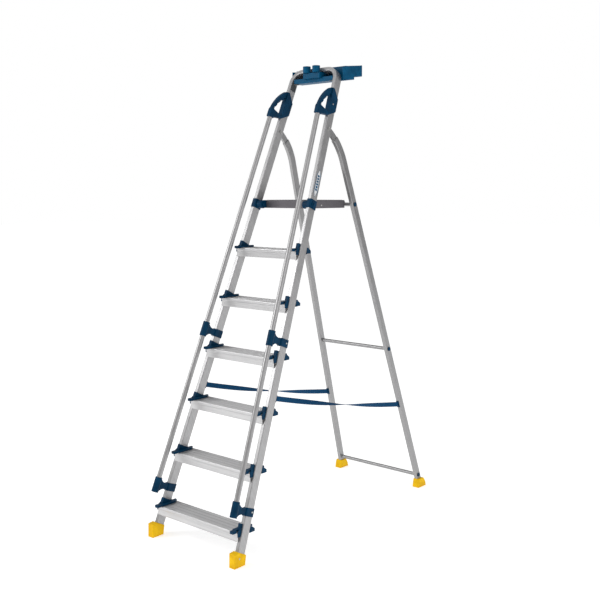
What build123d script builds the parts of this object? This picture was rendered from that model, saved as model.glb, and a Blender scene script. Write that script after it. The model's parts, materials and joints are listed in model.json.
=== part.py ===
"""Folding step ladder with handrails, a lift-up platform and a tool tray, in millimetres.

X runs across the ladder, to the right of a person facing it, Y runs from the climbing side to the
rear and Z is up. The origin is on the floor, at the centre of the footprint. The ladder stands open.
"""
import os
from math import atan2, cos, degrees, radians, sin, tan

from build123d import *

os.makedirs("parts", exist_ok=True)

# ---- Driving dimensions -------------------------------------------------------------------------
RISER = 240.0                 # height from one tread to the next
TREAD_COUNT = 6
FIRST_TREAD_TOP = 145.0       # standing surface of the lowest tread
PLATFORM_TOP = 1578.0         # standing surface of the platform

FRONT_LEAN = 21.21            # front stiles, degrees from the vertical
REAR_LEAN = 17.71             # straight part of the rear stiles
FRONT_HALF = 281.6            # outer half width of the front frame at the floor
FRONT_TAPER = 0.0590          # loss of half width per millimetre of height
REAR_TAPER = 0.0580

STILE_W, STILE_D = 20.0, 45.0          # front stile section, across and front to back
REAR_W, REAR_D = 20.0, 35.0            # rear stile section
WALL = 2.2                             # wall of the stile tubes
STILE_R = 3.0                          # outer corner radius of the stile tubes

PIVOT_P, PIVOT_S = 26.0, 2075.0        # frame hinge, behind the stile's front edge and along the stile
REAR_BEND_R = 301.6                    # centre line of the bend under the hinge
REAR_BEND_TURN = 37.2                  # degrees

RAIL_D = 24.0                          # handrail tube
RAIL_P = -66.7                         # handrail axis, in front of the stile's front edge
RAIL_S0, RAIL_S1 = 209.0, 2146.0
HOOP_TOP_S = 2404.0                    # outer top of the hoop, along the stile
HOOP_R = 60.0                          # centre line of the hoop's corners
JOINT_S = 2212.0                       # where the hoop meets the stiles, inside the grips

FRONT_TOE, REAR_HEEL = -8.0, 1484.0    # ends of the footprint, from the stile's front edge at the floor
MID_Y = (FRONT_TOE + REAR_HEEL) / 2

FIT = 0.05                             # radial gap of a running fit

# ---- Frames of reference ------------------------------------------------------------------------
# Each frame has x outwards, y to the rear across the stile and z up along it, on the right side.
A = radians(FRONT_LEAN)
B = radians(REAR_LEAN)


def world(x, y, z):
    """A point measured from the stile's front edge at the floor."""
    return Vector(x, y - MID_Y, z)


def frame_at(origin, along, across):
    along, across = Vector(*along).normalized(), Vector(*across).normalized()
    return Plane(origin=origin, x_dir=across.cross(along), z_dir=along)


FRONT = frame_at(world(FRONT_HALF - STILE_W / 2, 0, 0),
                 (-FRONT_TAPER * cos(A), sin(A), cos(A)), (0, cos(A), -sin(A)))


def front_point(p, s, x=0.0):
    return FRONT.from_local_coords(Vector(x, p, s))


PIVOT = front_point(PIVOT_P, PIVOT_S)
REAR = frame_at(PIVOT, (-REAR_TAPER * cos(B), -sin(B), cos(B)), (0, cos(B), sin(B)))
REAR_Q = REAR_BEND_R * (1 - cos(radians(REAR_BEND_TURN)))     # straight tube axis behind the hinge
REAR_T = -REAR_BEND_R * sin(radians(REAR_BEND_TURN))          # where the bend starts, below the hinge


def front(shape):
    return FRONT.location * shape


def rear(shape):
    return REAR.location * shape


def rear_t(z):
    """Distance along the rear stile, from the hinge, at which its axis is at height z."""
    base = REAR.from_local_coords(Vector(0, REAR_Q, 0))
    return (z - base.Z) / REAR.z_dir.Z


def front_s(z, p=0.0):
    """Distance along the front stile at which the line p behind its front edge is at height z."""
    return (z - front_point(p, 0).Z) / FRONT.z_dir.Z


def half_width(z):
    return FRONT_HALF - FRONT_TAPER * z


def lean_y(z):
    """Front edge of the front stile at height z, in the Y of world()."""
    return z * tan(A)


# ---- Small builders -----------------------------------------------------------------------------
def tube_section(width, depth, wall, radius):
    outer = RectangleRounded(width, depth, radius)
    return outer - RectangleRounded(width - 2 * wall, depth - 2 * wall, max(radius - wall, 0.6))


def rod(radius, start, end):
    axis = end - start
    plane = Plane(origin=start, z_dir=axis)
    return plane.location * Cylinder(radius, axis.length, align=(Align.CENTER, Align.CENTER, Align.MIN))


def rod_x(radius, x0, x1, at):
    """Cylinder along X from x0 to x1, through the Y and Z of the point at."""
    return rod(radius, Vector(x0, at.Y, at.Z), Vector(x1, at.Y, at.Z))


def profile(points, width, centre=0.0):
    """Prism across the stile from an outline of (y, z) pairs in a stile's own frame."""
    face = make_face(Polyline(*[(0, y, z) for y, z in points], close=True))
    return Pos(centre - width / 2, 0, 0) * extrude(face, width, dir=(1, 0, 0))


def outline(edges, width, centre=0.0):
    face = make_face(edges)
    return Pos(centre - width / 2, 0, 0) * extrude(face, width, dir=(1, 0, 0))


def arc3(a, b, c):
    return ThreePointArc((0, *a), (0, *b), (0, *c))


def line2(a, b):
    return Line((0, *a), (0, *b))


def box(x0, x1, y0, y1, z0, z1):
    return Pos((x0 + x1) / 2, (y0 + y1) / 2, (z0 + z1) / 2) * Box(x1 - x0, y1 - y0, z1 - z0)


def soften(shape, size, test=None):
    """Round the edges that pass the test by the largest radius, up to size, that the shape takes."""
    edges = shape.edges() if test is None else shape.edges().filter_by(test)
    for radius in (size, size * 0.6, size * 0.3):
        try:
            rounded = fillet(edges, radius)
            if rounded.is_valid and rounded.volume > 0:
                return rounded
        except Exception:
            continue
    return shape


def other_side(shape):
    return mirror(shape, about=Plane.YZ)


PARTS = {}


def keep(name, *shapes):
    solids = [solid for shape in shapes for solid in shape.solids()]
    PARTS[name] = solids[0] if len(solids) == 1 else Compound(children=solids)
    PARTS[name].label = name


def keep_pair(name, *shapes):
    """One node for each side: the right one is given and the left one mirrors it."""
    keep(name + "_right", *shapes)
    keep(name + "_left", *[other_side(shape) for shape in shapes])


def keep_both(name, *shapes):
    """One node that holds the pieces of both sides."""
    keep(name, *shapes, *[other_side(shape) for shape in shapes])


# ---- Front stiles and hoop ----------------------------------------------------------------------
PIN_R = 5.0
FOLD_SLOT = (1988.0, 2108.0)            # opening in the stile's rear wall for the rear stile's tongue
STILE_BOTTOM = 6.0                      # height at which the front stiles are cut off, level
HOLLOW_W = STILE_W - 2 * WALL


def stile_outer(s0, s1, grow=0.0):
    block = box(-STILE_W / 2 - grow, STILE_W / 2 + grow, -grow, STILE_D + grow, s0, s1)
    return fillet(block.edges().filter_by(Axis.Z), STILE_R + grow)


def stile_bore(s0, s1, gap=0.0):
    block = box(-HOLLOW_W / 2 + gap, HOLLOW_W / 2 - gap, WALL + gap, STILE_D - WALL - gap, s0, s1)
    return fillet(block.edges().filter_by(Axis.Z), 1.0)


def stile_foot(grow):
    """Lower end of the front stile, cut level."""
    return front(stile_outer(-40, 200, grow)) - box(0, 999, -999, 999, -99, STILE_BOTTOM - grow)


def front_stile():
    stile = stile_outer(150, JOINT_S) - stile_bore(149, JOINT_S)
    slot_s0, slot_s1 = FOLD_SLOT
    stile -= box(-HOLLOW_W / 2, HOLLOW_W / 2, STILE_D - 12, STILE_D + 5, slot_s0, slot_s1)
    foot = stile_foot(0) - front(stile_bore(-50, 210) + box(-30, 30, -9, 60, 150, 210))
    return front(stile) + foot - rod_x(PIN_R + FIT, PIVOT.X - 40, PIVOT.X + 40, PIVOT)


def hoop(section):
    """Top bow of the front frame, bent from the stile's own section."""
    start = front_point(STILE_D / 2, JOINT_S)
    top = front_point(STILE_D / 2, HOOP_TOP_S - STILE_W / 2)
    path = FilletPolyline(start, top, Vector(-top.X, top.Y, top.Z),
                          Vector(-start.X, start.Y, start.Z), radius=HOOP_R)
    return sweep(Plane(origin=start, x_dir=FRONT.x_dir, z_dir=FRONT.z_dir) * section, path=path)


stile = front_stile()
keep("top_hoop", hoop(tube_section(STILE_W, STILE_D, WALL, STILE_R)))
spigot = front(stile_bore(JOINT_S - 45, JOINT_S + 38, 0.1) - stile_bore(JOINT_S - 46, JOINT_S + 39, 3.0))

# ---- Treads -------------------------------------------------------------------------------------
TREAD_FRONT, TREAD_REAR = -23.0, 80.0   # from the stile's front edge, level
TREAD_LIP = 44.0                        # height of the front lip
NOSE_D, NOSE_H = 12.0, 18.0             # rounded nose above the apron
RIB_COUNT, RIB_H = 11, 0.9
SKIN = 2.2


def strip(y, z, depth, height):
    """Rectangle of a tread's section, from its front top corner."""
    return Pos(y, z) * Rectangle(depth, height, align=(Align.MIN, Align.MAX))


def tread_section():
    """Ribbed top, rounded nose, apron, rear flange and webs of the extrusion, in Y and Z."""
    shape = strip(TREAD_FRONT + 3, -RIB_H, TREAD_REAR - TREAD_FRONT - 3, SKIN)
    shape += Pos(TREAD_FRONT + NOSE_D / 2, -NOSE_H / 2 - 0.4) * RectangleRounded(NOSE_D, NOSE_H - 0.8, 4.5)
    shape -= Pos(TREAD_FRONT + NOSE_D / 2, -NOSE_H / 2 - 0.4) * RectangleRounded(
        NOSE_D - 2 * SKIN, NOSE_H - 0.8 - 2 * SKIN, 2.3)
    shape += strip(TREAD_FRONT + 2, 1 - NOSE_H, SKIN, TREAD_LIP - NOSE_H + 1)
    shape += strip(TREAD_FRONT + 2, SKIN - TREAD_LIP, 10, SKIN)
    shape += strip(TREAD_REAR - SKIN, -RIB_H, SKIN, 24)
    shape += strip(TREAD_REAR - 12, SKIN - 25, 12, SKIN)
    for web in (14.0, 46.0):
        shape += strip(web, -RIB_H, SKIN, 14)
    pitch = (TREAD_REAR - TREAD_FRONT - 16) / (RIB_COUNT - 1)
    for i in range(RIB_COUNT):
        shape += strip(TREAD_FRONT + 8 + i * pitch, 0, 2.4, RIB_H + 0.5)
    return shape


def tread(z):
    plane = Plane(origin=world(0, lean_y(z), z), x_dir=(0, 1, 0), z_dir=(1, 0, 0))
    shape = extrude(plane * tread_section(), half_width(z - TREAD_LIP), both=True)
    s = front_s(z)
    beside = front(box(-STILE_W / 2 - 0.1, 90, -0.3, 140, s - 140, s + 80))
    ahead = front(box(0, 90, -80, 0, s - 140, s + 80))
    return shape - beside - ahead - other_side(beside) - other_side(ahead)


FOOT_H = 8.0
TAB_P, TAB_H = -10.0, 32.0              # front of the bracket's tab and its height on the stile
TOE_FRONT, TAIL_REAR = -44.0, 79.0


def tread_bracket(z):
    """Moulded corner at a tread's end: plate, front tab, end cap, foot with a toe and a rear tail."""
    s, edge = front_s(z), half_width(z) - STILE_W
    high = s + TAB_H
    plate = profile([(TAB_P, s - 0.5), (TAB_P, high), (49, high - 6), (49, s + 20.5)], 4, -STILE_W / 2 - 2.1)
    tab = profile([(TAB_P, s - 0.5), (TAB_P, high), (-0.1, high), (-0.1, s + 1)], 16, -STILE_W / 2 + 4)
    cap = profile([(-21.4, s - 8.3), (-13.5, s - 28.8), (-0.3, s - 23.6), (-0.3, s + 9), (TAB_P, s + 9)],
                  3.6, 2.2)
    toes = Polyline((edge - 2, -26), (edge + 6, TOE_FRONT), (edge - 2, TOE_FRONT), (edge - 22, -18),
                    (edge - 22, 58), (edge - 8, TAIL_REAR), (edge + 3, TAIL_REAR), (edge + 3, 53),
                    (edge - 0.2, 50), (edge - 0.2, -20), close=True)
    foot = extrude(make_face(toes), FOOT_H, dir=(0, 0, 1))
    foot += box(edge - 14, edge + 6, TOE_FRONT, TREAD_FRONT - 0.5, -4, FOOT_H)
    tail = profile([(48, -19), (48, FOOT_H), (60, FOOT_H), (TAIL_REAR, -6), (TAIL_REAR, -19)],
                   STILE_W - 4, edge + STILE_W / 2)
    level = Pos(0, lean_y(z) - MID_Y, z) * (foot + tail)
    return front(plate + tab + cap) + (level - front(stile_outer(s - 90, s + 120, 0.1)))


TREAD_TOPS = [FIRST_TREAD_TOP + RISER * i for i in range(TREAD_COUNT)]
for number, top in enumerate(TREAD_TOPS, start=1):
    keep(f"tread_{number}", tread(top))
    keep_pair(f"tread_bracket_{number}", tread_bracket(top))

# ---- Handrails, clamps and grips ----------------------------------------------------------------
RAIL_R = RAIL_D / 2
RAIL_WALL = 1.5
CLAMP_H = 70.0
CLAMP_WALL = 3.2
CLAMP_STRAP = (16.0, 53.0)              # part of the clamp's height that goes round the stile
CLAMPS = {"lower": 206.0, "middle": 969.0}
RIVET_R = 2.4


def rail_rod(radius, s0, s1):
    return front(Pos(0, RAIL_P, s0) * Cylinder(radius, s1 - s0,
                                               align=(Align.CENTER, Align.CENTER, Align.MIN)))


def rivet(p, s, face):
    """Rivet through the outer side of a collar that stands face beyond the stile."""
    out = STILE_W / 2 + face
    head = Pos(out + 0.7, p, s) * Rot(0, 90, 0) * Cylinder(4.0, 1.4)
    shank = Pos(out - 3, p, s) * Rot(0, 90, 0) * Cylinder(RIVET_R, 6.2)
    return front(soften(head, 0.6) + shank)


def rivet_hole(p, s):
    return front(Pos(20, p, s) * Rot(0, 90, 0) * Cylinder(RIVET_R + 0.05, 40))


def rail_clamp(s0):
    """Sleeve round the handrail, waisted web and collar round the stile."""
    s1 = s0 + CLAMP_H
    low, high = s0 + CLAMP_STRAP[0], s0 + CLAMP_STRAP[1]
    sleeve = Pos(0, RAIL_P, s0) * Cylinder(RAIL_R + 4.5, CLAMP_H,
                                           align=(Align.CENTER, Align.CENTER, Align.MIN))
    near, far, mid = RAIL_P + RAIL_R, -CLAMP_WALL, (RAIL_P + RAIL_R) / 2
    web = outline([line2((near - 4, s0), (near - 4, s1)), line2((near - 4, s1), (near, s1)),
                   arc3((near, s1), (mid, high - 4), (far, high)), line2((far, high), (far + 2, high)),
                   line2((far + 2, high), (far + 2, low)), line2((far + 2, low), (far, low)),
                   arc3((far, low), (mid, low + 4), (near, s0)), line2((near, s0), (near - 4, s0))], 15)
    collar = stile_outer(low, high, CLAMP_WALL)
    shape = front(sleeve + web + collar - stile_outer(low - 1, high + 1, 0.1))
    return shape - rail_rod(RAIL_R + FIT, max(s0 - 1, RAIL_S0), s1 + 1)


GRIP_W, BAR_W = 27.0, 16.0             # grip across the stile, and its bar in front of the opening
BAR_S = 2160.0                          # where the bar starts, above the handrail's socket
GRIP_OPENING = ((-5.0, 2250.0), (-43.0, 2206.0), (-66.0, 2158.0), (-5.0, 2150.0))
FINGER_R = 7.0
GRIP_RIVET = (16.0, 2201.0)


def grip_hole(width):
    """Finger opening of the grip, scalloped along its front side."""
    top, knuckle, toe, heel = GRIP_OPENING
    hole = profile(GRIP_OPENING, width)
    for low, high in ((toe, knuckle), (knuckle, top)):
        for share in (0.25, 0.75):
            p, s = low[0] + share * (high[0] - low[0]), low[1] + share * (high[1] - low[1])
            hole += Pos(0, p + 4.5, s) * Rot(0, 90, 0) * Cylinder(FINGER_R, width)
    return hole - box(-width, width, heel[0], 60, 2100, 2300)


def grip():
    """Closed hand grip that joins the top of the handrail to the stile and the hoop."""
    shape = outline([arc3((-82, 2150), (-62, 2215), (-22, 2271)), arc3((-22, 2271), (-6, 2281), (8, 2282)),
                     line2((8, 2282), (48.5, 2240)), line2((48.5, 2240), (48.5, 2172)),
                     line2((48.5, 2172), (2, 2138)), line2((2, 2138), (-50, 2122)),
                     line2((-50, 2122), (-52, 2114)), line2((-52, 2114), (-82, 2114)),
                     line2((-82, 2114), (-82, 2150))], GRIP_W)
    shape = soften(shape, 4)
    for side in (-1, 1):
        inner, outer = sorted((side * BAR_W / 2, side * GRIP_W))
        shape -= box(inner, outer, -99, GRIP_OPENING[0][0], BAR_S, 2300)
    shape -= grip_hole(60)
    shape -= stile_outer(2100, 2320, 0.1)
    return front(shape) - rail_rod(RAIL_R + FIT, 2090, RAIL_S1)


clamp_rivets = []
for name, s0 in CLAMPS.items():
    hole = rivet_hole(33, s0 + 36)
    keep_pair(f"{name}_rail_clamp", rail_clamp(s0) - hole)
    clamp_rivets.append(rivet(33, s0 + 36, CLAMP_WALL))
    stile -= hole
keep_pair("handrail", rail_rod(RAIL_R, RAIL_S0 + FIT, RAIL_S1 - FIT)
          - rail_rod(RAIL_R - RAIL_WALL, RAIL_S0 - 1, RAIL_S1 + 1))
grip_rivet_hole = rivet_hole(*GRIP_RIVET)
keep_pair("d_grip", grip() - grip_rivet_hole)
stile -= grip_rivet_hole
keep_both("hoop_spigots", spigot - grip_rivet_hole)
clamp_rivets.append(rivet(*GRIP_RIVET, GRIP_W / 2 - STILE_W / 2))

# ---- Front boots --------------------------------------------------------------------------------
BOOT_W = 36.0
BOOT_RIVET = (5.0, 43.0)
SOLE_GROOVE = 1.5
boot_x = half_width(20) - STILE_W / 2


def grooved(foot, ys):
    for y in ys:
        foot -= Pos(0, y - MID_Y, 0) * box(0, 999, 0, 5, -1, SOLE_GROOVE)
    return foot


boot = Pos(boot_x, -MID_Y, 0) * profile([(FRONT_TOE, 0), (FRONT_TOE + 1, 64), (20, 66.5), (65, 43),
                                         (58, 0)], BOOT_W)
boot = soften(boot, 4, lambda e: e.center().Z > 1.0)
boot -= stile_foot(0.1)
boot_rivet_hole = rivet_hole(*BOOT_RIVET)
keep_pair("front_boot", grooved(boot, (2, 16, 30, 44)) - boot_rivet_hole)
stile -= boot_rivet_hole
boot_face = boot_x + BOOT_W / 2 - front_point(*BOOT_RIVET).X - STILE_W / 2
clamp_rivets.append(rivet(*BOOT_RIVET, boot_face + 0.6))
keep_both("frame_rivets", *clamp_rivets)

# ---- Rear frame ---------------------------------------------------------------------------------
TONGUE_W, TONGUE_D, TONGUE_L = 12.5, 30.0, 70.0
TONGUE_TURN = radians(REAR_BEND_TURN) - TONGUE_L / REAR_BEND_R
RUNG_ZS = {"top": 1555.0, "middle": 793.0, "bottom": 67.0}
RUNG_R = 9.5
REAR_T0 = rear_t(8.0)


def bend_point(radius, turn):
    """Point of the rear stile's bend, in the rear frame's y and z, turn radians above its start."""
    return (REAR_Q - REAR_BEND_R + radius * cos(turn), REAR_T + radius * sin(turn))


def rear_sweep(section, start, turn):
    knee = bend_point(REAR_BEND_R, 0)
    path = line2((REAR_Q, start), knee) + arc3(knee, bend_point(REAR_BEND_R, turn / 2),
                                               bend_point(REAR_BEND_R, turn))
    return sweep(Plane(origin=(0, REAR_Q, start), z_dir=(0, 0, 1)) * section, path=path)


def rung_centre(z):
    return REAR.from_local_coords(Vector(0, REAR_Q, rear_t(z)))


def rear_half(z):
    return rung_centre(z).X + REAR_W / 2


def rear_stile():
    """Tube bent forward near its top, whose narrowed end turns inside the front stile."""
    tube = rear_sweep(RectangleRounded(REAR_W, REAR_D, STILE_R), REAR_T0, TONGUE_TURN)
    tube -= rear_sweep(RectangleRounded(REAR_W - 2 * WALL, REAR_D - 2 * WALL, 1.0), REAR_T0,
                       TONGUE_TURN - 14 / REAR_BEND_R)
    half, top = TONGUE_D / 2, radians(REAR_BEND_TURN)
    base = TONGUE_TURN - 4 / REAR_BEND_R
    outer, inner = REAR_BEND_R + half, REAR_BEND_R - half
    nose = (-half * sin(top), half * cos(top))
    tongue = outline([line2(bend_point(inner, base), bend_point(outer, base)),
                      arc3(bend_point(outer, base), bend_point(outer, (base + top) / 2),
                           bend_point(outer, top)),
                      arc3(bend_point(outer, top), nose, bend_point(inner, top)),
                      arc3(bend_point(inner, top), bend_point(inner, (base + top) / 2),
                           bend_point(inner, base))], TONGUE_W)
    shape = rear(tube + tongue) - rod_x(PIN_R + FIT, PIVOT.X - 40, PIVOT.X + 40, PIVOT)
    for z in RUNG_ZS.values():
        shape -= rod_x(RUNG_R + FIT, 0, 400, rung_centre(z))
    return shape


def rung(z):
    reach, at = rear_half(z) - 0.4, rung_centre(z)
    return rod_x(RUNG_R, -reach, reach, at) - rod_x(RUNG_R - 1.5, -reach - 1, reach + 1, at)


def rung_plug(z):
    face, at = rear_half(z) + 0.9, rung_centre(z)
    return soften(rod_x(RUNG_R + 1.5, face, face + 2.4, at), 1.0) + rod_x(RUNG_R - 1.6, face - 16, face, at)


keep_pair("rear_stile", rear_stile())
for name, z in RUNG_ZS.items():
    keep(f"rear_rung_{name}", rung(z))
keep_both("rung_plugs", *[rung_plug(z) for z in RUNG_ZS.values()])

rear_foot = Pos(272, -MID_Y, 0) * profile([(1409, 0), (1412, 24), (1418, 46), (1463, 46), (1479, 22),
                                           (REAR_HEEL, 0)], 41)
rear_foot = soften(rear_foot, 4, lambda e: e.center().Z > 1.0)
rear_socket = RectangleRounded(REAR_W + 0.2, REAR_D + 0.2, STILE_R)
rear_foot -= rear(rear_sweep(rear_socket, REAR_T0 - 0.1, 0.1))
keep_pair("rear_foot", grooved(rear_foot, (1420, 1435, 1450, 1465)))

# ---- Frame hinge --------------------------------------------------------------------------------
PIN_HEAD_R = 8.5
pin_in, pin_out = PIVOT.X - STILE_W / 2 - 1.2, PIVOT.X + STILE_W / 2 + 1.2
hinge_pin = rod_x(PIN_R, pin_in - 2.5, pin_out + 2.5, PIVOT)
hinge_pin += rod_x(PIN_HEAD_R, pin_in - 3, pin_in, PIVOT) + rod_x(PIN_HEAD_R, pin_out, pin_out + 3, PIVOT)
keep_both("hinge_pins", hinge_pin)

# ---- Lift-up platform ---------------------------------------------------------------------------
PAN_H = 40.0
PAN_SKIN = 2.5
PAN_RIBS = 12
PAN_PIVOT_P, PAN_PIVOT_Z = 25.0, 1556.0
PAN_REAR_GAP = 30.0                     # from the pan's rear edge to the rung's axis
HUB_R, HUB_L = 20.0, 28.0
BOSS_R = 16.0
pan_pivot = front_point(PAN_PIVOT_P, front_s(PAN_PIVOT_Z, PAN_PIVOT_P))
rest = rung_centre(RUNG_ZS["top"])
pan_front = pan_pivot.Y + HUB_R + 3
pan_rear = rest.Y - PAN_REAR_GAP
pan_bottom = PLATFORM_TOP - PAN_H
pan_half = half_width(PLATFORM_TOP) - STILE_W - CLAMP_WALL - 0.8


def pan_edge(y):
    """Half width of the pan, which narrows to the rear as the stiles do."""
    return pan_half - FRONT_TAPER * (y - pan_pivot.Y)


def pan_prism(inset, z0, z1):
    y0, y1 = pan_front + inset, pan_rear - inset
    x0, x1 = pan_edge(y0) - inset, pan_edge(y1) - inset
    face = make_face(Polyline((-x0, y0), (x0, y0), (x1, y1), (-x1, y1), close=True))
    return Pos(0, 0, z0) * extrude(face, z1 - z0, dir=(0, 0, 1))


def platform_pan():
    """Ribbed deck with a lip on all four sides and two stiffening webs under it."""
    deck = PLATFORM_TOP - 1
    pan = soften(pan_prism(0, pan_bottom, deck), 3, lambda e: e.center().Z > deck - 0.5)
    pan -= pan_prism(PAN_SKIN, pan_bottom - 1, deck - PAN_SKIN)
    pitch = (pan_rear - pan_front - 28) / (PAN_RIBS - 1)
    for i in range(PAN_RIBS):
        y = pan_front + 14 + i * pitch
        pan += box(24 - pan_half, pan_half - 24, y - 3, y + 3, deck - 0.2, PLATFORM_TOP)
    for side in (-1, 1):
        pan -= Pos(side * pan_half, pan_front, pan_bottom) * Rot(0, 45, 0) * Box(16, 12, 16)
        beam = side * pan_half * 0.4
        pan += box(beam - 1.5, beam + 1.5, pan_front + 1, pan_rear - 1, pan_bottom + 12, deck - 1)
    return pan


keep("platform_pan", platform_pan())

hub_out = half_width(PLATFORM_TOP) - STILE_W - CLAMP_WALL - 1.4
hub_in = hub_out - HUB_L
hub = rod_x(HUB_R, hub_in, hub_out, pan_pivot)
hub += box(hub_in, hub_out, pan_pivot.Y, pan_front, pan_pivot.Z - 15, PLATFORM_TOP - 2)
keep_pair("platform_hinge_block", hub - rod_x(PIN_R + FIT, 0, 400, pan_pivot))

outer_face = half_width(PAN_PIVOT_Z)
collar_s = front_s(PAN_PIVOT_Z, PAN_PIVOT_P)
collar = front(stile_outer(collar_s - 22, collar_s + 22, CLAMP_WALL))
collar += rod_x(BOSS_R, pan_pivot.X, outer_face + 6.5, pan_pivot)
collar -= front(stile_outer(collar_s - 60, collar_s + 60, 0.1))
pan_pin_hole = rod_x(PIN_R + FIT, 0, 400, pan_pivot)
keep_pair("platform_collar", collar - pan_pin_hole)
stile -= pan_pin_hole
platform_pin = rod_x(PIN_R, hub_in - 3, outer_face + 9, pan_pivot)
platform_pin += soften(rod_x(9.0, outer_face + 6.6, outer_face + 10, pan_pivot), 1.2)
platform_pin += rod_x(8.0, hub_in - 3.5, hub_in - 0.4, pan_pivot)
keep_both("platform_pins", platform_pin)

HOOK_X = 112.0
HOOK_GAP = RUNG_R + 0.6
HOOK_T = 9.0


def rest_hook():
    """Tongue over the rear rung with a lip behind it, open towards the pan."""
    y, z = rest.Y, rest.Z
    tongue = box(-4, 4, pan_rear, y, z + HOOK_GAP, z + HOOK_GAP + HOOK_T)
    flange = box(-4, 4, pan_rear, pan_rear + 5, pan_bottom + 6, z + HOOK_GAP + HOOK_T)
    ring = Pos(0, y, z) * Rot(0, 90, 0) * (Cylinder(HOOK_GAP + HOOK_T, 8) - Cylinder(HOOK_GAP, 8))
    lip = ring & box(-9, 9, y, y + 60, z - 5, z + 60)
    return Pos(HOOK_X, 0, 0) * (tongue + flange + lip)


keep_both("platform_hooks", rest_hook())


def pan_rivet(y, z):
    at = Vector(0, y, z)
    x = pan_edge(y)
    return soften(rod_x(4.0, x + 0.4, x + 1.8, at), 0.6) + rod_x(RIVET_R, x - 6, x + 0.5, at)


side_rivet = pan_rivet(pan_pivot.Y + 98, PAN_PIVOT_Z - 4)
PARTS["platform_pan"] -= side_rivet + other_side(side_rivet)
keep_both("platform_rivets", side_rivet)

# ---- Tool tray ----------------------------------------------------------------------------------
TUB_HALF = 166.0
TUB_WALL = 3.0
TUB_FRONT, TUB_STEP, TUB_REAR = 914.0, 980.0, 1045.0
TUB_EAR = 885.0                         # front end of the side wings
LEDGE_HALF, LEDGE_FRONT, LEDGE_LOW, LEDGE_HIGH = 126.0, 854.0, 2166.0, 2189.0
hoop_space = hoop(RectangleRounded(STILE_W + 0.8, STILE_D + 0.8, STILE_R))


def tub_block(half, grow, lift):
    """Volume of the tub with its stepped floor, taken in by grow and opened at the top by lift."""
    points = [(TUB_FRONT + grow, 2170 + grow), (TUB_STEP + grow, 2178 + grow),
              (TUB_STEP + grow, 2191 + grow), (TUB_REAR - grow, 2200 + grow),
              (TUB_REAR - grow, 2256 + lift), (TUB_FRONT + grow, 2240 + lift)]
    return profile(points, 2 * half)


def tray():
    """One moulding: a ledge between the hoop's legs and a deep tub with side wings behind it."""
    shape = soften(tub_block(TUB_HALF, 0, 0), 6, lambda e: abs(e.center().X) > TUB_HALF - 1)
    shape -= tub_block(TUB_HALF - TUB_WALL, TUB_WALL, 9)
    wing = profile([(TUB_EAR, 2170), (TUB_FRONT + 8, 2175), (TUB_FRONT + 8, 2236), (TUB_EAR, 2233)],
                   TUB_WALL, TUB_HALF - TUB_WALL / 2)
    shape += wing + other_side(wing)
    ledge = box(-LEDGE_HALF, LEDGE_HALF, LEDGE_FRONT, TUB_FRONT + 2, LEDGE_LOW, LEDGE_HIGH)
    ledge -= box(TUB_WALL - LEDGE_HALF, LEDGE_HALF - TUB_WALL, LEDGE_FRONT + TUB_WALL, TUB_FRONT + 1,
                 LEDGE_LOW + TUB_WALL, LEDGE_HIGH + 1)
    return Pos(0, -MID_Y, 0) * (shape + ledge) - hoop_space


BLOCK_HALF, BLOCK_FRONT, BLOCK_TOP = 54.0, 838.0, 2213.0
CUP_X, CUP_Y, CUP_R = 30.5, 841.0, 19.5
CUP_H, CUP_WALL = 32.0, 3.0
keep("tool_tray", tray())
block = box(-BLOCK_HALF, BLOCK_HALF, BLOCK_FRONT, LEDGE_FRONT - 0.3, LEDGE_HIGH - 5, BLOCK_TOP)
block += box(-BLOCK_HALF, BLOCK_HALF, BLOCK_FRONT, TUB_FRONT - 1, LEDGE_HIGH + 0.1, BLOCK_TOP)
block = soften(block, 3, lambda e: e.center().Y < BLOCK_FRONT + 1)
keep("tray_block", Pos(0, -MID_Y, 0) * block - hoop_space)
cup_base = Vector(CUP_X, CUP_Y - MID_Y, BLOCK_TOP)
cup_floor = cup_base + Vector(0, 0, 4)
cup_top = cup_base + Vector(0, 0, CUP_H)
cup = soften(rod(CUP_R, cup_base, cup_top), 1.5)
keep_pair("tray_cup", cup - rod(CUP_R - CUP_WALL, cup_floor, cup_top + Vector(0, 0, 1)))

support_s = front_s(LEDGE_LOW - 3, 22)
support = front(box(-STILE_W / 2 - 3.1, -STILE_W / 2 - 0.1, 6, 38, support_s - 32, support_s))
seat = front_point(22, support_s)
support += box(seat.X - 32, seat.X - STILE_W / 2 - 0.6, seat.Y - 16, seat.Y + 14, LEDGE_LOW - 3.2,
               LEDGE_LOW - 0.1)
keep_both("tray_supports", support)

# ---- Spreader straps ----------------------------------------------------------------------------
STRAP_W, STRAP_T = 25.0, 1.8
STRAP_Z = (682.0, 490.0)                # front and rear ends
STRAP_SAG = 14.0
PAD_T = 4.0                             # plate that holds each end
strap_front = front_point(STILE_D + 0.1, front_s(STRAP_Z[0], STILE_D))
strap_rear = REAR.from_local_coords(Vector(0, REAR_Q - REAR_D / 2 - 0.1, rear_t(STRAP_Z[1])))
pad_front = front(box(-8, 8, STILE_D + 0.1, STILE_D + PAD_T, front_s(STRAP_Z[0], STILE_D) - 17,
                      front_s(STRAP_Z[0], STILE_D) + 17))
pad_rear = rear(box(-8, 8, REAR_Q - REAR_D / 2 - PAD_T, REAR_Q - REAR_D / 2 - 0.1,
                    rear_t(STRAP_Z[1]) - 17, rear_t(STRAP_Z[1]) + 17))
keep_both("strap_plates_front", pad_front)
keep_both("strap_plates_rear", pad_rear)


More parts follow.
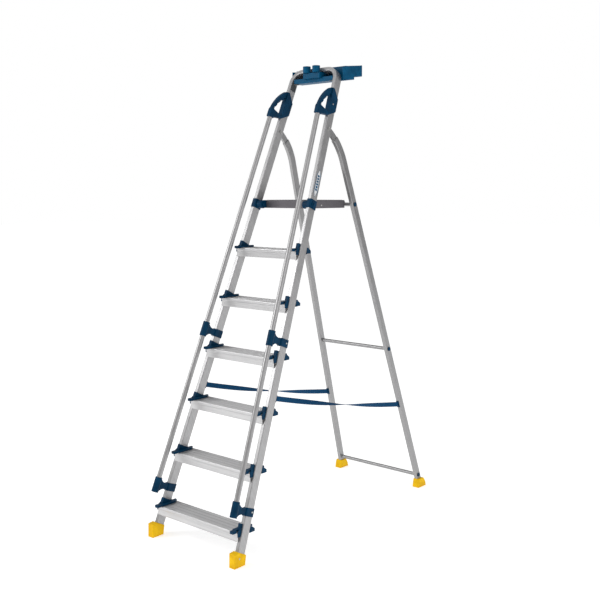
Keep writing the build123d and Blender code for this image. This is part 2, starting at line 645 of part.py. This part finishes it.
def strap():
    """Webbing band that hangs in a shallow curve between its two plates."""
    start = strap_front + Vector(0, PAD_T + 8, 0)
    end = strap_rear - Vector(0, PAD_T + 8, 0)
    run = end.Y - start.Y
    turn = degrees(atan2(end.X - start.X, run))
    mid = (start.Z + end.Z) / 2 - STRAP_SAG - start.Z
    drop = end.Z - start.Z
    band = [arc3((0, 0), (run / 2, mid), (run, drop)), line2((run, drop), (run, drop + STRAP_W)),
            arc3((run, drop + STRAP_W), (run / 2, mid + STRAP_W), (0, STRAP_W)),
            line2((0, STRAP_W), (0, 0))]
    return Pos(start.X, start.Y, start.Z - STRAP_W / 2) * Rot(0, 0, -turn) * outline(band, STRAP_T)


keep_pair("strap", strap())
keep_pair("front_stile", stile)

for name, shape in PARTS.items():
    export_step(shape, f"parts/{name}.step")
print(len(PARTS), "nodes")
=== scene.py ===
import json
import math
import bpy
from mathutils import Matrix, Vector


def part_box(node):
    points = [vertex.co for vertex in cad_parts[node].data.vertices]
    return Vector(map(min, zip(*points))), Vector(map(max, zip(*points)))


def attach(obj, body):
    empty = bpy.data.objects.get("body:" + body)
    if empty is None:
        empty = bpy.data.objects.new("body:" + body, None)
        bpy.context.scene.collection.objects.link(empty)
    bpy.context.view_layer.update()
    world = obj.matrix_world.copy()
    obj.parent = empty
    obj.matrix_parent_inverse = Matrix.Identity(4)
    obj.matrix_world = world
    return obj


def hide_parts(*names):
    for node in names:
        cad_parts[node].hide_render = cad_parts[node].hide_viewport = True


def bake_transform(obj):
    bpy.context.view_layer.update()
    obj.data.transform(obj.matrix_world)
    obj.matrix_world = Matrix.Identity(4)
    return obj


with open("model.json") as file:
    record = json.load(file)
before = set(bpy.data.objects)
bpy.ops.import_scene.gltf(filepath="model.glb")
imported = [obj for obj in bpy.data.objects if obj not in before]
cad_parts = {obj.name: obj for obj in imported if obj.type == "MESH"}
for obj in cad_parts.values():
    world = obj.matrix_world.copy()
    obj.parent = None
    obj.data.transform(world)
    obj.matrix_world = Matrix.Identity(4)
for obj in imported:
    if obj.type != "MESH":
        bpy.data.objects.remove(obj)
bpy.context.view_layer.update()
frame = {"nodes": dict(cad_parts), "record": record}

print("frame loaded:", len(frame["nodes"]), "nodes")

frontLean = math.radians(21.21)      # front stiles lean back from the vertical
rearLean = math.radians(-17.71)      # rear stiles lean the other way

view = {
    "place": (2.919, -3.357, 1.604),
    "turn": (math.radians(85.16), 0.0, math.radians(40.88)),
    "lens": 53.4,
    "shift": -0.05,
}


def addCamera():
    data = bpy.data.cameras.new("viewCamera")
    data.lens = view["lens"]
    data.sensor_width = 36.0
    data.shift_y = view["shift"]
    camera = bpy.data.objects.new("viewCamera", data)
    bpy.context.scene.collection.objects.link(camera)
    camera.location = view["place"]
    camera.rotation_euler = view["turn"]
    bpy.context.scene.camera = camera


studio = {
    "floorSize": 80.0,
    "floorColour": (0.92, 0.92, 0.92, 1.0),
    "floorGlow": 0.46,           # keeps the floor white up to the horizon
    "skyHigh": 0.95,             # light from above
    "skyLow": 0.30,              # light from the horizon
    "aim": (0.0, 0.0, 1.1),      # where both lamps point
    "key": {"place": (-3.6, -4.6, 3.6), "size": 2.4, "power": 105.0},
    "fill": {"place": (5.6, -1.0, 3.4), "size": 3.0, "power": 46.0},
}


def addFloor():
    bpy.ops.object.select_all(action="DESELECT")
    bpy.ops.mesh.primitive_plane_add(size=studio["floorSize"], location=(0, 0, 0))
    floor = bpy.context.active_object
    floor.name = "studioFloor"
    material = bpy.data.materials.new("paleFloor")
    material.use_nodes = True
    shader = material.node_tree.nodes["Principled BSDF"]
    shader.inputs["Base Color"].default_value = studio["floorColour"]
    shader.inputs["Roughness"].default_value = 0.9
    shader.inputs["Specular IOR Level"].default_value = 0.1
    shader.inputs["Emission Color"].default_value = (1.0, 1.0, 1.0, 1.0)
    shader.inputs["Emission Strength"].default_value = studio["floorGlow"]
    floor.data.materials.append(material)


def addLight(name, settings):
    data = bpy.data.lights.new(name, "AREA")
    data.size = settings["size"]
    data.energy = settings["power"]
    lamp = bpy.data.objects.new(name, data)
    bpy.context.scene.collection.objects.link(lamp)
    lamp.location = settings["place"]
    aim = Vector(studio["aim"]) - Vector(settings["place"])
    lamp.rotation_euler = aim.to_track_quat("-Z", "Y").to_euler()


def addSky():
    world = bpy.data.worlds.new("studioSky")
    bpy.context.scene.world = world
    world.use_nodes = True
    nodes, links = world.node_tree.nodes, world.node_tree.links
    nodes.clear()
    out = nodes.new("ShaderNodeOutputWorld")
    seen = nodes.new("ShaderNodeBackground")            # plain white behind the ladder
    seen.inputs["Color"].default_value = (1.0, 1.0, 1.0, 1.0)
    seen.inputs["Strength"].default_value = 1.0
    light = nodes.new("ShaderNodeBackground")           # what lights the ladder
    where = nodes.new("ShaderNodeTexCoord")
    split = nodes.new("ShaderNodeSeparateXYZ")
    links.new(where.outputs["Generated"], split.inputs[0])
    ramp = nodes.new("ShaderNodeMapRange")
    ramp.inputs["From Min"].default_value = 0.0
    ramp.inputs["From Max"].default_value = 0.8
    ramp.inputs["To Min"].default_value = studio["skyLow"]
    ramp.inputs["To Max"].default_value = studio["skyHigh"]
    links.new(split.outputs["Z"], ramp.inputs["Value"])
    links.new(ramp.outputs[0], light.inputs["Strength"])
    path = nodes.new("ShaderNodeLightPath")
    mix = nodes.new("ShaderNodeMixShader")
    links.new(path.outputs["Is Camera Ray"], mix.inputs[0])
    links.new(light.outputs[0], mix.inputs[1])
    links.new(seen.outputs[0], mix.inputs[2])
    links.new(mix.outputs[0], out.inputs[0])


addCamera()
addFloor()
addSky()
addLight("keyLight", studio["key"])
addLight("fillLight", studio["fill"])
bpy.context.scene.view_settings.view_transform = "Standard"
print("camera, floor and light are in place")


def startMaterial(name):
    material = bpy.data.materials.new(name)
    material.use_nodes = True
    tree = material.node_tree
    return material, tree, tree.nodes["Principled BSDF"]


# a point of the piece in metres, turned and then stretched
def objectPoint(tree, scale=(1.0, 1.0, 1.0), turn=(0.0, 0.0, 0.0)):
    place = tree.nodes.new("ShaderNodeTexCoord")
    turned = tree.nodes.new("ShaderNodeMapping")
    turned.inputs["Rotation"].default_value = turn
    tree.links.new(place.outputs["Object"], turned.inputs["Vector"])
    stretched = tree.nodes.new("ShaderNodeMapping")
    stretched.inputs["Scale"].default_value = scale
    tree.links.new(turned.outputs[0], stretched.inputs["Vector"])
    return stretched.outputs[0]


def noise(tree, point, size, detail=3.0, rough=0.5):
    texture = tree.nodes.new("ShaderNodeTexNoise")
    texture.inputs["Scale"].default_value = size
    texture.inputs["Detail"].default_value = detail
    texture.inputs["Roughness"].default_value = rough
    tree.links.new(point, texture.inputs["Vector"])
    return texture.outputs["Fac"]


def spread(tree, value, low, high, fromLow=0.3, fromHigh=0.7):
    ramp = tree.nodes.new("ShaderNodeMapRange")
    ramp.inputs["From Min"].default_value = fromLow
    ramp.inputs["From Max"].default_value = fromHigh
    ramp.inputs["To Min"].default_value = low
    ramp.inputs["To Max"].default_value = high
    tree.links.new(value, ramp.inputs["Value"])
    return ramp.outputs[0]


def tint(tree, value, dark, light):
    ramp = tree.nodes.new("ShaderNodeValToRGB")
    ramp.color_ramp.elements[0].position = 0.3
    ramp.color_ramp.elements[0].color = (*dark, 1.0)
    ramp.color_ramp.elements[1].position = 0.7
    ramp.color_ramp.elements[1].color = (*light, 1.0)
    tree.links.new(value, ramp.inputs["Fac"])
    return ramp.outputs["Color"]


def bump(tree, shader, heights, strength, distance):
    node = tree.nodes.new("ShaderNodeBump")
    node.inputs["Strength"].default_value = strength
    node.inputs["Distance"].default_value = distance
    tree.links.new(heights, node.inputs["Height"])
    tree.links.new(node.outputs[0], shader.inputs["Normal"])


def add(tree, first, second, share=1.0):
    node = tree.nodes.new("ShaderNodeMath")
    node.operation = "MULTIPLY_ADD"
    tree.links.new(second, node.inputs[0])
    node.inputs[1].default_value = share
    tree.links.new(first, node.inputs[2])
    return node.outputs[0]


alloy = {
    "dark": (0.36, 0.357, 0.362),
    "light": (0.49, 0.487, 0.492),
    "metal": 0.75,
    "roughLow": 0.26,
    "roughHigh": 0.42,
}


# aluminium with die lines along the piece, cloudy oxide and a few handling marks
def drawnAlloy(name, turn, dark=None, light=None):
    material, tree, shader = startMaterial(name)
    lines = noise(tree, objectPoint(tree, (900.0, 900.0, 5.0), turn), 1.0, 2.0)
    broad = noise(tree, objectPoint(tree, (120.0, 120.0, 0.8), turn), 1.0, 2.0)
    cloud = noise(tree, objectPoint(tree), 14.0, 4.0, 0.6)
    marks = noise(tree, objectPoint(tree, (60.0, 60.0, 60.0)), 4.0, 6.0, 0.75)
    tone = add(tree, add(tree, spread(tree, lines, 0.0, 0.34), broad, 0.34), cloud, 0.32)
    colour = tint(tree, tone, dark or alloy["dark"], light or alloy["light"])
    tree.links.new(colour, shader.inputs["Base Color"])
    worn = add(tree, cloud, marks, 0.4)
    rough = spread(tree, worn, alloy["roughLow"], alloy["roughHigh"], 0.4, 1.0)
    tree.links.new(rough, shader.inputs["Roughness"])
    shader.inputs["Metallic"].default_value = alloy["metal"]
    bump(tree, shader, add(tree, lines, marks, 0.25), 0.25, 0.0002)
    return material


grooves = {
    "pitch": 0.026,
    "first": 0.004,
    "origin": 0.738,             # from the stiles' front edge at the floor to the frame's origin
    "width": 0.0042,
    "depth": 0.42,
    # near-black painted shade for the grooves, mixed in up to the share above
    "grooveShade": (0.03, 0.03, 0.032, 1.0),
}


# tread alloy with painted shade in the grooves along its standing surface
def groovedTread(dark, light):
    material = drawnAlloy("ribbedTread", alongWidth, dark, light)
    tree = material.node_tree
    shader = tree.nodes["Principled BSDF"]
    spot = tree.nodes.new("ShaderNodeSeparateXYZ")
    tree.links.new(objectPoint(tree), spot.inputs[0])
    behind = add(tree, spot.outputs["Y"], spot.outputs["Z"], -math.tan(frontLean))       # same on every tread
    step = tree.nodes.new("ShaderNodeMath")
    step.operation = "PINGPONG"
    shifted = tree.nodes.new("ShaderNodeMath")
    shifted.operation = "ADD"
    tree.links.new(behind, shifted.inputs[0])
    shifted.inputs[1].default_value = grooves["origin"] + grooves["pitch"] - grooves["first"]
    tree.links.new(shifted.outputs[0], step.inputs[0])
    step.inputs[1].default_value = grooves["pitch"] / 2
    line = spread(tree, step.outputs[0], 1.0, 0.0, grooves["width"] * 0.35, grooves["width"] * 0.65)
    facing = tree.nodes.new("ShaderNodeSeparateXYZ")
    surface = tree.nodes.new("ShaderNodeTexCoord")
    tree.links.new(surface.outputs["Normal"], facing.inputs[0])
    upwards = spread(tree, facing.outputs["Z"], 0.0, grooves["depth"], 0.7, 0.9)
    share = tree.nodes.new("ShaderNodeMath")
    share.operation = "MULTIPLY"
    tree.links.new(line, share.inputs[0])
    tree.links.new(upwards, share.inputs[1])
    # painted shade: the grooves are darkened on the upward-facing faces
    mix = tree.nodes.new("ShaderNodeMix")
    mix.data_type = "RGBA"
    tree.links.new(share.outputs[0], mix.inputs["Factor"])
    tree.links.new(shader.inputs["Base Color"].links[0].from_socket, mix.inputs[6])
    mix.inputs[7].default_value = grooves["grooveShade"]
    tree.links.new(mix.outputs[2], shader.inputs["Base Color"])
    return material


# moulded plastic with a fine leathery grain, slight mottling and polished patches
def mouldedPlastic(name, dark, light, rough=(0.36, 0.5), grain=2600.0, gloss=0.1):
    material, tree, shader = startMaterial(name)
    cloud = noise(tree, objectPoint(tree), 26.0, 3.0)
    fine = noise(tree, objectPoint(tree), grain, 2.0)
    tree.links.new(tint(tree, cloud, dark, light), shader.inputs["Base Color"])
    tree.links.new(spread(tree, cloud, rough[0], rough[1]), shader.inputs["Roughness"])
    shader.inputs["Specular IOR Level"].default_value = gloss
    bump(tree, shader, fine, 0.35, 0.0001)
    return material


def rubberFoot():
    material, tree, shader = startMaterial("yellowRubber")
    cloud = noise(tree, objectPoint(tree), 30.0, 4.0, 0.6)
    fine = noise(tree, objectPoint(tree), 1800.0, 3.0)
    height = tree.nodes.new("ShaderNodeSeparateXYZ")
    tree.links.new(objectPoint(tree), height.inputs[0])
    soleDarkening = spread(tree, height.outputs["Z"], 0.35, 0.0, 0.0, 0.012)      # darker towards the sole
    tone = add(tree, cloud, soleDarkening, -0.6)
    tree.links.new(tint(tree, tone, (0.78, 0.44, 0.004), (1.0, 0.62, 0.008)), shader.inputs["Base Color"])
    shader.inputs["Roughness"].default_value = 0.62
    shader.inputs["Specular IOR Level"].default_value = 0.15
    bump(tree, shader, add(tree, fine, cloud, 0.5), 0.4, 0.0002)
    return material


def zincSteel():
    material, tree, shader = startMaterial("zincSteel")
    spangle = noise(tree, objectPoint(tree), 240.0, 3.0)
    tree.links.new(tint(tree, spangle, (0.48, 0.48, 0.47), (0.66, 0.66, 0.64)), shader.inputs["Base Color"])
    tree.links.new(spread(tree, spangle, 0.24, 0.4), shader.inputs["Roughness"])
    shader.inputs["Metallic"].default_value = 0.9
    bump(tree, shader, spangle, 0.2, 0.0001)
    return material


weave = {
    "pitch": 0.0018,             # weft pitch along the band
    "ribs": 10.0,                # warp ribs across it
    "dark": (0.001, 0.03, 0.085),
    "light": (0.003, 0.075, 0.19),
}


def waves(tree, value, count):
    node = tree.nodes.new("ShaderNodeMath")
    node.operation = "MULTIPLY"
    tree.links.new(value, node.inputs[0])
    node.inputs[1].default_value = count * 2 * math.pi
    wave = tree.nodes.new("ShaderNodeMath")
    wave.operation = "SINE"
    tree.links.new(node.outputs[0], wave.inputs[0])
    return wave.outputs[0]


# woven band: its UV map runs in metres along it and from 0 to 1 across it
def webbingCloth():
    material, tree, shader = startMaterial("blueWebbing")
    uv = tree.nodes.new("ShaderNodeUVMap")
    split = tree.nodes.new("ShaderNodeSeparateXYZ")
    tree.links.new(uv.outputs[0], split.inputs[0])

    both = tree.nodes.new("ShaderNodeMath")
    both.operation = "MULTIPLY"
    tree.links.new(waves(tree, split.outputs["X"], 1.0 / weave["pitch"]), both.inputs[0])
    tree.links.new(waves(tree, split.outputs["Y"], weave["ribs"]), both.inputs[1])
    fluff = noise(tree, objectPoint(tree), 900.0, 3.0)
    height = add(tree, fluff, both.outputs[0], 0.35)
    tree.links.new(tint(tree, height, weave["dark"], weave["light"]), shader.inputs["Base Color"])
    shader.inputs["Roughness"].default_value = 0.8
    shader.inputs["Specular IOR Level"].default_value = 0.1
    shader.inputs["Sheen Weight"].default_value = 0.03
    bump(tree, shader, height, 0.6, 0.0004)
    return material


# dark coated platform: fine speckle over a cloudy satin coat
def darkCoat():
    material, tree, shader = startMaterial("darkCoat")
    speckle = noise(tree, objectPoint(tree), 700.0, 2.0)
    cloud = noise(tree, objectPoint(tree), 12.0, 4.0, 0.6)
    tone = add(tree, spread(tree, speckle, 0.0, 0.5), cloud, 0.5)
    tree.links.new(tint(tree, tone, (0.085, 0.08, 0.09), (0.15, 0.142, 0.155)), shader.inputs["Base Color"])
    shader.inputs["Metallic"].default_value = 0.25
    tree.links.new(spread(tree, cloud, 0.38, 0.55), shader.inputs["Roughness"])
    bump(tree, shader, speckle, 0.3, 0.0001)
    return material


def printedLabel():
    material, tree, shader = startMaterial("printedLabel")
    cloud = noise(tree, objectPoint(tree), 60.0, 3.0)
    tree.links.new(tint(tree, cloud, (0.66, 0.67, 0.68), (0.78, 0.79, 0.80)), shader.inputs["Base Color"])
    tree.links.new(spread(tree, cloud, 0.25, 0.4), shader.inputs["Roughness"])
    return material


alongFront = (-frontLean, 0.0, 0.0)
alongRear = (-rearLean, 0.0, 0.0)
alongWidth = (0.0, math.radians(90), 0.0)

finish = {
    "frontTube": drawnAlloy("extrudedFront", alongFront),
    "rearTube": drawnAlloy("extrudedRear", alongRear, (0.30, 0.298, 0.302), (0.40, 0.398, 0.402)),
    "rail": drawnAlloy("drawnRail", alongFront, (0.36, 0.355, 0.36), (0.48, 0.475, 0.48)),
    "rung": drawnAlloy("drawnRung", alongWidth, (0.27, 0.268, 0.272), (0.36, 0.358, 0.362)),
    "tread": groovedTread((0.50, 0.497, 0.502), (0.66, 0.657, 0.662)),
    "blue": mouldedPlastic("bluePlastic", (0.0004, 0.026, 0.064), (0.0008, 0.044, 0.105)),
    "tray": mouldedPlastic("blueTray", (0.0004, 0.060, 0.135), (0.0008, 0.092, 0.20)),
    "grey": mouldedPlastic("greyPlastic", (0.05, 0.055, 0.06), (0.09, 0.095, 0.1)),
    "rubber": rubberFoot(),
    "steel": zincSteel(),
    "webbing": webbingCloth(),
    "coat": darkCoat(),
    "label": printedLabel(),
}

bySlot = {
    "aluminium_tube": "frontTube",
    "aluminium_round": "rung",
    "ribbed_aluminium": "tread",
    "coated_aluminium": "coat",
    "steel": "steel",
    "blue_plastic": "blue",
    "blue_tray": "tray",
    "grey_plastic": "grey",
    "yellow_rubber": "rubber",
    "blue_webbing": "webbing",
}

# pieces whose finish is not the one of their slot
byName = {
    "rear_stile": "rearTube",
    "handrail": "rail",
    "platform_pins": "blue",
    "platform_hooks": "coat",
    "strap_plates": "blue",
}


def dressNodes():
    for part in frame["record"]["subparts"]:
        name = part["node"]
        key = bySlot[part["material_slot"]]
        for start, other in byName.items():
            if name.startswith(start):
                key = other
        node = frame["nodes"][name]
        node.data.materials.clear()
        node.data.materials.append(finish[key])


dressNodes()
print("the CAD nodes have their finishes")


# the finished piece keeps its place in its mesh, with its object at the origin
def settle(piece, name, material):
    piece.name = name
    piece.data.name = name
    bpy.ops.object.select_all(action="DESELECT")
    piece.select_set(True)
    bpy.context.view_layer.objects.active = piece
    bpy.ops.object.transform_apply(location=True, rotation=True, scale=True)
    piece.data.materials.clear()
    piece.data.materials.append(material)


def useModifier(piece, kind, **values):
    modifier = piece.modifiers.new(kind.lower(), kind)
    for key, value in values.items():
        setattr(modifier, key, value)
    bpy.context.view_layer.objects.active = piece
    bpy.ops.object.modifier_apply(modifier=modifier.name)


strap = {
    "width": 0.025,
    "thick": 0.0016,
    "sag": 0.014,
    "steps": 150,
    "lanes": 6,
    "edge": 0.0004,
    "plateHalf": 0.008,          # from the plate's outer face to the strap's middle
    "grip": 0.006,               # how far the plate holds the strap's end
}


def strapEnds(side):
    lowFront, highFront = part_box("strap_plates_front")
    lowRear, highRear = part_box("strap_plates_rear")
    half, grip = strap["plateHalf"], strap["grip"]
    start = Vector((side * (highFront[0] - half), highFront[1] - grip, (lowFront[2] + highFront[2]) / 2))
    end = Vector((side * (highRear[0] - half), lowRear[1] + grip, (lowRear[2] + highRear[2]) / 2))
    return start, end


def makeStrap(side, name, node):
    start, end = strapEnds(side)
    bpy.ops.object.select_all(action="DESELECT")
    bpy.ops.mesh.primitive_grid_add(x_subdivisions=strap["steps"], y_subdivisions=strap["lanes"], size=1.0)
    piece = bpy.context.active_object
    run = end - start
    up = Vector((0, 0, 1))
    across = up.cross(Vector((run.x, run.y, 0)).normalized())
    for vertex in piece.data.vertices:
        share = vertex.co.x + 0.5
        offset = vertex.co.y * strap["width"]
        centre = start + run * share
        centre.z -= 4 * strap["sag"] * share * (1 - share)
        ease = share * share * (3 - 2 * share)
        turn = math.pi / 2 - math.pi * ease              # upright, flat halfway, upright again
        vertex.co = centre + (across * math.cos(turn) + up * math.sin(turn)) * offset
    for loop in piece.data.uv_layers.active.data:
        loop.uv = (loop.uv[0] * run.length, loop.uv[1])
    useModifier(piece, "SOLIDIFY", thickness=strap["thick"], offset=0.0)
    useModifier(piece, "BEVEL", width=strap["edge"], segments=2, limit_method="ANGLE")
    bpy.ops.object.shade_smooth()
    settle(piece, name, finish["webbing"])
    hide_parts(node)
    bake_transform(piece)


makeStrap(1, "webbing_right", "strap_right")
makeStrap(-1, "webbing_left", "strap_left")
print("straps are made")


label = {
    "length": 0.138,
    "half": 0.0135,
    "thick": 0.0003,
    "centre": (0.0225, 1.789),       # behind the stile's front edge and along it
    "out": 0.0103,                   # from the stile's middle plane
    "cells": (40, 8),
    "rim": (0.94, 0.75),             # where the blue rim starts, along and across
    "bars": (0.6, 0.5),              # how far the bars reach, along and across
    "tip": 1.02,                     # where the pointed ends would meet
    "taper": 2.6,
}


# a place on the right front stile: outwards from its middle plane, behind its front edge and along it
def stilePoint(out, behind, along):
    corner = Vector((0.2716, -0.738, 0.0))
    outwards = Vector((0.998491, 0.019869, 0.0512))
    backwards = Vector((0.0, 0.932261, -0.361787))
    upwards = Vector((-0.05492, 0.361241, 0.930854))
    return corner + outwards * out + backwards * behind + upwards * along


# long pointed label with a blue rim and plain bars where words would be
def makeLabel():
    bpy.ops.object.select_all(action="DESELECT")
    columns, rows = label["cells"]
    bpy.ops.mesh.primitive_grid_add(x_subdivisions=columns, y_subdivisions=rows, size=1.0)
    piece = bpy.context.active_object
    behind, along = label["centre"]
    rimLong, rimWide = label["rim"]
    barLong, barWide = label["bars"]
    marks = []
    for polygon in piece.data.polygons:
        u, v = polygon.center[0] * 2, polygon.center[1] * 2
        rim = abs(u) > rimLong or abs(v) > rimWide
        bar = abs(u) < barLong and abs(v) < barWide and int((u + 1) * 20) % 4 != 0
        marks.append(1 if rim or bar else 0)
    for vertex in piece.data.vertices:
        u, v = vertex.co.x * 2, vertex.co.y * 2
        half = label["half"] * min(1.0, (label["tip"] - abs(u)) * label["taper"])
        vertex.co = stilePoint(label["out"], behind + v * half, along + u * label["length"] / 2)
    settle(piece, "stile_label", finish["label"])
    piece.data.materials.append(finish["tray"])
    for polygon, mark in zip(piece.data.polygons, marks):
        polygon.material_index = mark
    bpy.ops.object.mode_set(mode="EDIT")
    bpy.ops.mesh.select_all(action="SELECT")
    bpy.ops.mesh.normals_make_consistent(inside=False)
    bpy.ops.object.mode_set(mode="OBJECT")
    useModifier(piece, "SOLIDIFY", thickness=label["thick"], offset=0.0)
    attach(piece, "front_frame")


makeLabel()
print("label is made")
